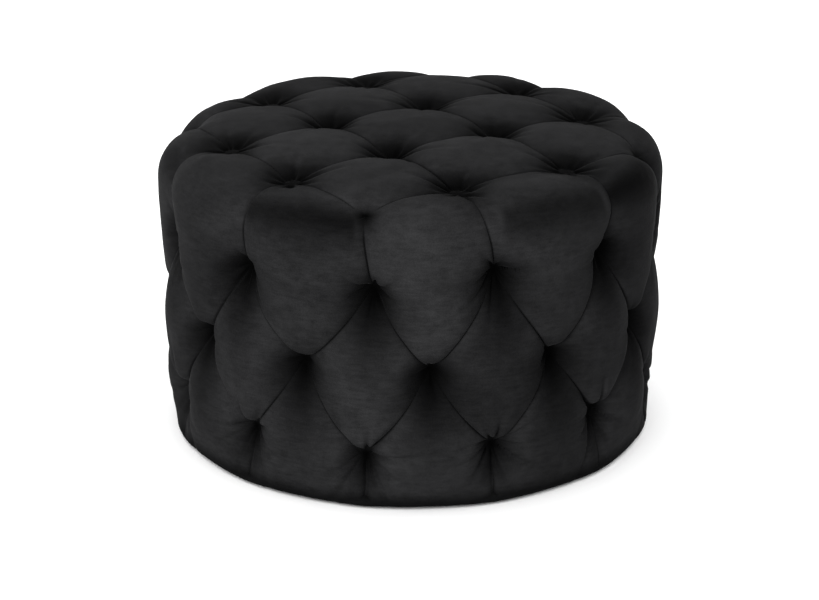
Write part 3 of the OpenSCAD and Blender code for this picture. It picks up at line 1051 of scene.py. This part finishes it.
@dataclass(frozen=True)
class Velvet(Finish):
    """Black cotton velvet with a short, brushed pile."""

    slot: str = "velvet"
    deep: Colour = (0.0050, 0.0050, 0.0052)
    pale: Colour = (0.0160, 0.0160, 0.0166)
    # colour that full painted shade pulls the pile colour towards
    shade: float = 0.0
    sheen: float = 0.014
    sheen_roughness: float = 0.38
    sheen_tint: Colour = (0.66, 0.66, 0.68)
    roughness: float = 0.8

    def build(self) -> bpy.types.Material:
        """Make the material: pile patches in colour and tilt, streaks and grain in fine bump.

        The attribute darkens the colour: painted shade in pleats, pits, rim bands and hem, plus random
        tone.
        """
        material, kit, shader, where = self.start()
        nap = kit.node("Group", node_tree=nap_group())
        kit.link(where.outputs["Object"], nap.inputs["Vector"])
        lay = kit.mix(nap.outputs["Lay"], self.deep, self.pale)
        # painted shade, with random tone, read from the mesh: it multiplies the pile colour towards the
        # shade colour
        shade_attribute = kit.node("Attribute", attribute_name="painted_shade_and_tone")
        painted_shade_and_tone = kit.node("Mix", data_type="RGBA", blend_type="MULTIPLY")
        kit.link(shade_attribute.outputs["Fac"], painted_shade_and_tone.inputs[0])
        kit.link(lay, painted_shade_and_tone.inputs[6])
        painted_shade_and_tone.inputs[7].default_value = (self.shade, self.shade, self.shade, 1)
        kit.link(painted_shade_and_tone.outputs[2], shader.inputs["Base Color"])
        kit.link(kit.ramp(nap.outputs["Mottle"], 0.3, 0.7, self.roughness - 0.1, self.roughness + 0.1),
                 shader.inputs["Roughness"])
        self.bump(kit, ((nap.outputs["Mottle"], 0.22, 0.0012), (nap.outputs["Streaks"], 0.40, 0.0007),
                        (nap.outputs["Fine"], 0.5, 0.0004)), shader)
        shader.inputs["Sheen Weight"].default_value = self.sheen
        shader.inputs["Sheen Roughness"].default_value = self.sheen_roughness
        shader.inputs["Sheen Tint"].default_value = (*self.sheen_tint, 1)
        shader.inputs["Specular IOR Level"].default_value = 0.01
        return material


@dataclass(frozen=True)
class Fibre(Finish):
    """Foam, wadding, felt, hardboard or twine: mottled, with small cells or fibres."""

    dark: Colour
    light: Colour
    patch: float = 40.0
    cell: float = 900.0
    relief: float = 0.0004
    roughness: float = 0.95
    sheen: float = 0.0

    def build(self) -> bpy.types.Material:
        """Make the material: mottle in the colour, cells in the bump."""
        material, kit, shader, where = self.start()
        fibre = kit.node("Group", node_tree=fibre_group(), in_Patch=self.patch, in_Cell=self.cell)
        kit.link(where.outputs["Object"], fibre.inputs["Vector"])
        kit.link(kit.mix(fibre.outputs["Mottle"], self.dark, self.light), shader.inputs["Base Color"])
        kit.link(kit.ramp(fibre.outputs["Cells"], 0, 1, self.roughness - 0.1, self.roughness),
                 shader.inputs["Roughness"])
        self.bump(kit, ((fibre.outputs["Mottle"], 0.2, 2 * self.relief),
                        (fibre.outputs["Cells"], 0.5, self.relief)), shader)
        shader.inputs["Sheen Weight"].default_value = self.sheen
        shader.inputs["Specular IOR Level"].default_value = 0.2
        return material


@dataclass(frozen=True)
class Wood(Finish):
    """Sawn wood with grain along X. Where it has plies, its upright faces show them as bands."""

    dark: Colour
    light: Colour
    plies_per_metre: float = 0.0
    rings: float = 90.0

    def build(self) -> bpy.types.Material:
        """Make the material: grain in colour, roughness and bump, and plies on the edges."""
        material, kit, shader, where = self.start()
        wood = kit.node("Group", node_tree=wood_group(), in_Rings=self.rings)
        kit.link(where.outputs["Object"], wood.inputs["Vector"])
        colour = kit.mix(wood.outputs["Rings"], self.dark, self.light)
        if self.plies_per_metre:
            colour = self._edge(kit, where, colour)
        kit.link(colour, shader.inputs["Base Color"])
        kit.link(kit.ramp(wood.outputs["Pores"], 0, 1, 0.55, 0.72), shader.inputs["Roughness"])
        self.bump(kit, ((wood.outputs["Rings"], 0.15, 0.0006),
                        (wood.outputs["Pores"], 0.3, 0.0003)), shader)
        shader.inputs["Specular IOR Level"].default_value = 0.35
        return material

    def _edge(self, kit: NodeKit, where: bpy.types.Node,
              face: bpy.types.NodeSocket) -> bpy.types.NodeSocket:
        """Show plies where the face is upright: bands up Z that alternate long and end grain."""
        split = kit.node("SeparateXYZ")
        kit.link(where.outputs["Object"], split.inputs[0])
        band = kit.node("Math", operation="PINGPONG")
        scaled = kit.node("Math", operation="MULTIPLY")
        scaled.inputs[1].default_value = self.plies_per_metre
        kit.link(split.outputs["Z"], scaled.inputs[0])
        kit.link(scaled.outputs[0], band.inputs[0])
        band.inputs[1].default_value = 1.0
        end_grain = tuple(c * 0.62 for c in self.dark)
        plies = kit.mix(kit.ramp(band.outputs[0], 0.42, 0.58), end_grain, self.light)
        normal = kit.node("NewGeometry")
        upright = kit.node("SeparateXYZ")
        kit.link(normal.outputs["True Normal"], upright.inputs[0])
        size = kit.node("Math", operation="ABSOLUTE")
        kit.link(upright.outputs["Z"], size.inputs[0])
        blend = kit.node("Mix", data_type="RGBA")
        kit.link(kit.ramp(size.outputs[0], 0.4, 0.6), blend.inputs[0])
        kit.link(plies, blend.inputs[6])
        kit.link(face, blend.inputs[7])
        return blend.outputs[2]


@dataclass(frozen=True)
class Steel(Finish):
    """Zinc-plated steel, faintly mottled."""

    slot: str = "steel"
    dark: Colour = (0.42, 0.43, 0.45)
    light: Colour = (0.62, 0.63, 0.64)

    def build(self) -> bpy.types.Material:
        """Make the material: mottle in colour and roughness, and fine grain in bump."""
        material, kit, shader, where = self.start()
        fibre = kit.node("Group", node_tree=fibre_group(), in_Patch=300.0, in_Cell=4000.0)
        kit.link(where.outputs["Object"], fibre.inputs["Vector"])
        kit.link(kit.mix(fibre.outputs["Mottle"], self.dark, self.light), shader.inputs["Base Color"])
        kit.link(kit.ramp(fibre.outputs["Mottle"], 0, 1, 0.28, 0.42), shader.inputs["Roughness"])
        self.bump(kit, ((fibre.outputs["Cells"], 0.15, 0.00005),), shader)
        shader.inputs["Metallic"].default_value = 1.0
        return material


FOAM = Fibre("foam", dark=(0.74, 0.66, 0.42), light=(0.84, 0.77, 0.55), cell=1100.0)
WADDING = Fibre("wadding", dark=(0.78, 0.77, 0.74), light=(0.90, 0.89, 0.87),
                cell=500.0, relief=0.0008, sheen=0.2)
NONWOVEN = Fibre("nonwoven", dark=(0.012, 0.012, 0.013), light=(0.028, 0.028, 0.030),
                 patch=120.0, cell=700.0)
HARDBOARD = Fibre("hardboard", dark=(0.15, 0.08, 0.035), light=(0.25, 0.14, 0.07), patch=90.0, cell=1500.0,
                  relief=0.0002, roughness=0.7)
TWINE = Fibre("twine", dark=(0.36, 0.25, 0.11), light=(0.56, 0.41, 0.20),
              patch=500.0, cell=2600.0, relief=0.0003)
GLIDE = Fibre("glide", dark=(0.016, 0.016, 0.016), light=(0.026, 0.026, 0.026), patch=200.0, cell=3000.0,
              relief=0.00004, roughness=0.55)
PLYWOOD = Wood("plywood", dark=(0.50, 0.33, 0.16), light=(0.68, 0.49, 0.28),
               plies_per_metre=13 / 0.018)
PINE = Wood("pine", dark=(0.60, 0.39, 0.18), light=(0.78, 0.58, 0.34), rings=140.0)
FINISHES: tuple[Finish, ...] = (PLYWOOD, PINE, HARDBOARD, TWINE, Steel(), GLIDE)


def dress_frame(replaced: set[str]) -> None:
    """Give each CAD node that is still shown the finish of its slot in the record.

    Args:
        replaced: Nodes that a visual piece stands for.
    """
    materials = {finish.slot: finish.build() for finish in FINISHES}
    for part in frame["record"]["subparts"]:
        if part["node"] in replaced:
            continue
        obj = frame["nodes"][part["node"]]
        if not obj.material_slots:
            obj.data.materials.append(None)
        for slot in obj.material_slots:
            slot.link = "OBJECT"
            slot.material = materials[part["material_slot"]]


# ---------------------------------------------------------------------------------------------------
# Soft pieces
# ---------------------------------------------------------------------------------------------------


@dataclass
class Cover:
    """Pleated velvet cover, turned in under the base."""

    surface: TuftedSurface
    thickness: float = 0.0016
    flange_steps: int = 8
    hem_proud: float = 0.004

    def build(self) -> bpy.types.Object:
        """Outer face, hem and turned-in flange, then back along the inner face, as one closed shell."""
        surface, drum = self.surface, self.surface.drum
        outer = surface.points()
        ring = surface.hem_ring()
        inner = surface.points(self.thickness)
        count = len(outer)
        bearing = surface.bearing[ring]
        heading = np.column_stack([np.sin(bearing), -np.cos(bearing)])
        start_depth = np.clip(surface.depth[ring], -self.hem_proud, None)
        points, faces, last = [outer, inner], [surface.faces, surface.faces[:, ::-1] + count], ring
        total = 2 * count
        rhos = np.concatenate([
            np.linspace(drum.side_end, drum.side_end + drum.sizes.hem_r * math.pi / 2, 6)[1:],
            np.linspace(drum.side_end + drum.sizes.hem_r * math.pi / 2, drum.end, self.flange_steps)[1:],
        ])
        for inset, first, flip in ((0.0, ring, False), (self.thickness, ring + count, True)):
            last = first
            for n, rho in enumerate(rhos):
                fade = max(0.0, 1 - (n + 1) / 5)
                row = drum.place(heading * rho, start_depth * fade + inset, surface.style.lean)
                points.append(row)
                now = np.arange(total, total + len(row))
                strip = ring_strip(last, now)
                faces.append(strip[:, ::-1] if flip else strip)
                total, last = total + len(row), now
            if not flip:
                outer_end = last
        faces.append(ring_strip(outer_end, last))
        obj = make_object("velvet_cover", np.concatenate(points), faces)
        # painted shade: the hem roll and the flange under the base take the hem's full painted shade
        shade = np.full(total, surface.style.shade_hem)
        shade[:2 * count] = np.tile(surface.shade, 2)
        # painted shade and random tone, stored on the mesh for the velvet to darken its colour
        layer = obj.data.attributes.new("painted_shade_and_tone", "FLOAT", "POINT")
        layer.data.foreach_set("value", shade.astype(np.float32))
        obj.data.materials.append(Velvet().build())
        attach(obj, "root")
        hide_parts("cover")
        return obj


def cut_level(points: Array, faces: Array, low: float, high: float) -> tuple[Array, Array]:
    """Keep the part of an open surface between two heights.

    Args:
        points: (n, 3) vertices.
        faces: (m, 4) vertex numbers.
        low: Lowest height that is kept.
        high: Highest height that is kept.

    Returns:
        The vertices, and the triangles, with new edges exactly on the two levels.
    """
    mesh = make_mesh("cut", points, [faces])
    work = bmesh.new()
    work.from_mesh(mesh)
    for height, up in ((low, -1.0), (high, 1.0)):
        everything = list(work.verts) + list(work.edges) + list(work.faces)
        bmesh.ops.bisect_plane(work, geom=everything, plane_co=(0, 0, height), plane_no=(0, 0, up),
                               clear_outer=True)
    bmesh.ops.triangulate(work, faces=list(work.faces))
    work.verts.index_update()
    kept = np.array([v.co[:] for v in work.verts])
    triangles = np.array([[v.index for v in f.verts] for f in work.faces])
    work.free()
    bpy.data.meshes.remove(mesh)
    return kept, triangles


def thicken(points: Array, triangles: Array, back: Array) -> tuple[Array, list[Array]]:
    """Close a solid between an open surface and a second place for each of its points.

    Args:
        points: (n, 3) outer points.
        triangles: (m, 3) outer faces.
        back: (n, 3) inner points.

    Returns:
        All vertices, and the outer faces, the reversed inner ones and the walls along the free edges.
    """
    count = len(points)
    sides = np.concatenate([triangles[:, [0, 1]], triangles[:, [1, 2]], triangles[:, [2, 0]]])
    key = np.sort(sides, axis=1) @ np.array([count, 1])
    _, first, uses = np.unique(key, return_index=True, return_counts=True)
    rim = sides[first[uses == 1]]
    walls = np.stack([rim[:, 1], rim[:, 0], rim[:, 0] + count, rim[:, 1] + count], -1)
    return np.concatenate([points, back]), [triangles, triangles[:, ::-1] + count, walls]


@dataclass
class Stuffing:
    """Wadding and foam under the cover, drawn in with it at every pleat and tuft."""

    net: PleatNet
    steps: int = 5
    cover_gap: float = 0.0016
    layer_gap: float = 0.0012

    def build(self) -> list[bpy.types.Object]:
        """Build the wadding, the seat foam and the foam round the side."""
        surface = TuftedSurface(self.net, self.steps, creased=False)
        s = self.net.drum.sizes
        wadding_in = s.cover_t + s.wadding_t
        outer = surface.points(s.cover_t + self.cover_gap)
        inner = surface.points(wadding_in)
        wadding = make_object("wadding_layer", *thicken(outer, to_triangles(surface.faces), inner))
        foam = surface.points(wadding_in + self.layer_gap)
        top, top_faces = cut_level(foam, surface.faces, s.board_z, s.top_z + s.crown_rise)
        flat = np.column_stack([top[:, :2], np.full(len(top), s.board_z - self.layer_gap)])
        seat = make_object("seat_foam", *thicken(top, top_faces, flat))
        side, side_faces = cut_level(foam, surface.faces, s.frame_z, s.board_z - 2 * self.layer_gap)
        around = np.hypot(side[:, 0], side[:, 1])
        side[:, :2] *= (np.maximum(around, s.wall_r + self.layer_gap) / around)[:, None]
        shrink = s.wall_r / np.hypot(side[:, 0], side[:, 1])
        wall = np.column_stack([side[:, :2] * shrink[:, None], side[:, 2]])
        band = make_object("side_foam_band", *thicken(side, side_faces, wall))
        for obj, node, finish, fill in ((wadding, "wadding", WADDING, 0.8), (seat, "top_foam", FOAM, 1.0),
                                        (band, "side_foam", FOAM, 1.0)):
            obj.data.materials.append(finish.build())
            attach(obj, "root")
            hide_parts(node)
        return [wadding, seat, band]


@dataclass
class DustCover:
    """Non-woven cloth stapled flat under the base, with a slight sag inside the ring."""

    sag: float = 0.0016
    sides: int = 144
    rings: int = 24

    def build(self) -> bpy.types.Object:
        """Build a closed disc. Its sag falls with the square of the radius, inside the plywood ring."""
        low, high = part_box("dust_cover")
        radius = float(high[0])
        free_r = radius - RING_W
        r = np.linspace(0, radius, self.rings + 1)[1:]
        turn = 2 * math.pi * np.arange(self.sides) / self.sides
        sag = self.sag * np.clip(1 - (r / free_r) ** 2, 0, 1)
        points = []
        for level in (float(high[2]), float(low[2])):
            z = np.repeat(level - sag, self.sides)
            x, y = np.outer(r, np.cos(turn)).ravel(), np.outer(r, np.sin(turn)).ravel()
            points += [np.column_stack([x, y, z]), np.array([[0, 0, level - self.sag]])]
        count = self.rings * self.sides + 1
        index = np.arange(self.rings * self.sides).reshape(self.rings, self.sides)
        after = np.roll(index, -1, axis=1)
        quads = np.stack([index[:-1], index[1:], after[1:], after[:-1]], -1).reshape(-1, 4)
        fan = np.stack([np.full(self.sides, count - 1), index[0], after[0]], -1)
        edge = np.stack([index[-1], index[-1] + count, after[-1] + count, after[-1]], -1)
        faces = [quads, fan, quads[:, ::-1] + count, fan[:, ::-1] + count, edge]
        obj = make_object("dust_cloth", np.concatenate(points), faces)
        obj.data.materials.append(NONWOVEN.build())
        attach(obj, "root")
        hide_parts("dust_cover")
        return obj


# ---------------------------------------------------------------------------------------------------
# Stage
# ---------------------------------------------------------------------------------------------------


@dataclass(frozen=True)
class Studio:
    """Pale floor, soft lights and the camera. Distances are shares of the drum's radius."""

    radius: float
    azimuth: float = math.radians(10.807)
    distance: float = 9.180
    height: float = 3.9964
    pitch: float = math.radians(20.973)
    focal_share: float = 2424.2 / 819
    shift: float = -0.0023
    room_mean: float = 1.16
    room_slope: float = 1.12
    room_from: tuple[float, float, float] = (-0.24, -0.16, 0.84)

    def build(self) -> None:
        """Build the floor, the lights and the camera."""
        self._floor()
        self._lights()
        self._camera()
        bpy.context.scene.view_settings.view_transform = "Standard"

    def _floor(self) -> None:
        """A wide pale floor."""
        size = 30.0
        points = np.array([[-size, -size, 0], [size, -size, 0], [size, size, 0], [-size, size, 0]])
        floor = make_object("floor", points, [np.array([[0, 1, 2, 3]])], smooth=False)
        material = bpy.data.materials.new("pale_floor")
        material.use_nodes = True
        shader = material.node_tree.nodes["Principled BSDF"]
        shader.inputs["Base Color"].default_value = (0.93, 0.93, 0.93, 1)
        shader.inputs["Roughness"].default_value = 0.9
        shader.inputs["Specular IOR Level"].default_value = 0.1
        floor.data.materials.append(material)
        floor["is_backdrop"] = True

    def _lights(self) -> None:
        """A white room, brightest overhead, and two soft boxes that light only the pouffe."""
        world = bpy.data.worlds.new("room")
        world.use_nodes = True
        kit = NodeKit(world.node_tree)
        where, lean = kit.node("TexCoord"), kit.node("VectorMath", operation="DOT_PRODUCT")
        kit.link(where.outputs["Generated"], lean.inputs[0])
        lean.inputs[1].default_value = self.room_from
        level = kit.ramp(lean.outputs["Value"], -1.0, 1.0, self.room_mean - self.room_slope,
                         self.room_mean + self.room_slope)
        background = world.node_tree.nodes["Background"]
        background.inputs["Color"].default_value = (1, 1, 1, 1)
        kit.link(level, background.inputs["Strength"])
        bpy.context.scene.world = world
        boxes = (
            ("box_above", (-1.4, 0.6, 2.6), 1.4, 10.0),
            ("box_front", (-0.7, -3.4, 1.0), 1.0, 200.0),
        )
        lit = bpy.data.collections.new("lit_by_boxes")
        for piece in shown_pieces():
            lit.objects.link(piece)
        for name, place, size, power in boxes:
            light = bpy.data.lights.new(name, "AREA")
            light.size, light.energy = size, power
            obj = bpy.data.objects.new(name, light)
            obj.location = place
            aim = Vector((0, 0, 0.2)) - Vector(place)
            obj.rotation_euler = aim.to_track_quat("-Z", "Y").to_euler()
            obj.light_linking.receiver_collection = lit
            bpy.context.scene.collection.objects.link(obj)

    def _camera(self) -> None:
        """A long lens that looks slightly down at the front."""
        data = bpy.data.cameras.new("camera")
        data.sensor_width = 36.0
        data.lens = self.focal_share * data.sensor_width
        data.shift_x = self.shift
        camera = bpy.data.objects.new("camera", data)
        reach = self.distance * self.radius
        camera.location = (reach * math.sin(self.azimuth), -reach * math.cos(self.azimuth),
                           self.height * self.radius)
        camera.rotation_euler = (math.pi / 2 - self.pitch, 0, self.azimuth)
        bpy.context.scene.collection.objects.link(camera)
        bpy.context.scene.camera = camera


def main() -> None:
    """Build the pieces in order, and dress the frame."""
    logging.basicConfig(level=logging.INFO, format="%(name)s: %(message)s")
    sizes = DrumSizes.from_frame()
    LOG.info("sizes %s", sizes)
    drum = Drum(sizes)
    net = PleatNet(drum, PuffStyle())
    surface = TuftedSurface(net, 26)
    pieces = [Cover(surface).build(), *Stuffing(net).build(), DustCover().build()]
    for piece in pieces:
        LOG.info("%s: %d faces", piece.name, len(piece.data.polygons))
    dress_frame({"cover", "wadding", "top_foam", "side_foam", "dust_cover"})
    Studio(sizes.outer_r).build()


if __name__ == "__main__":
    main()
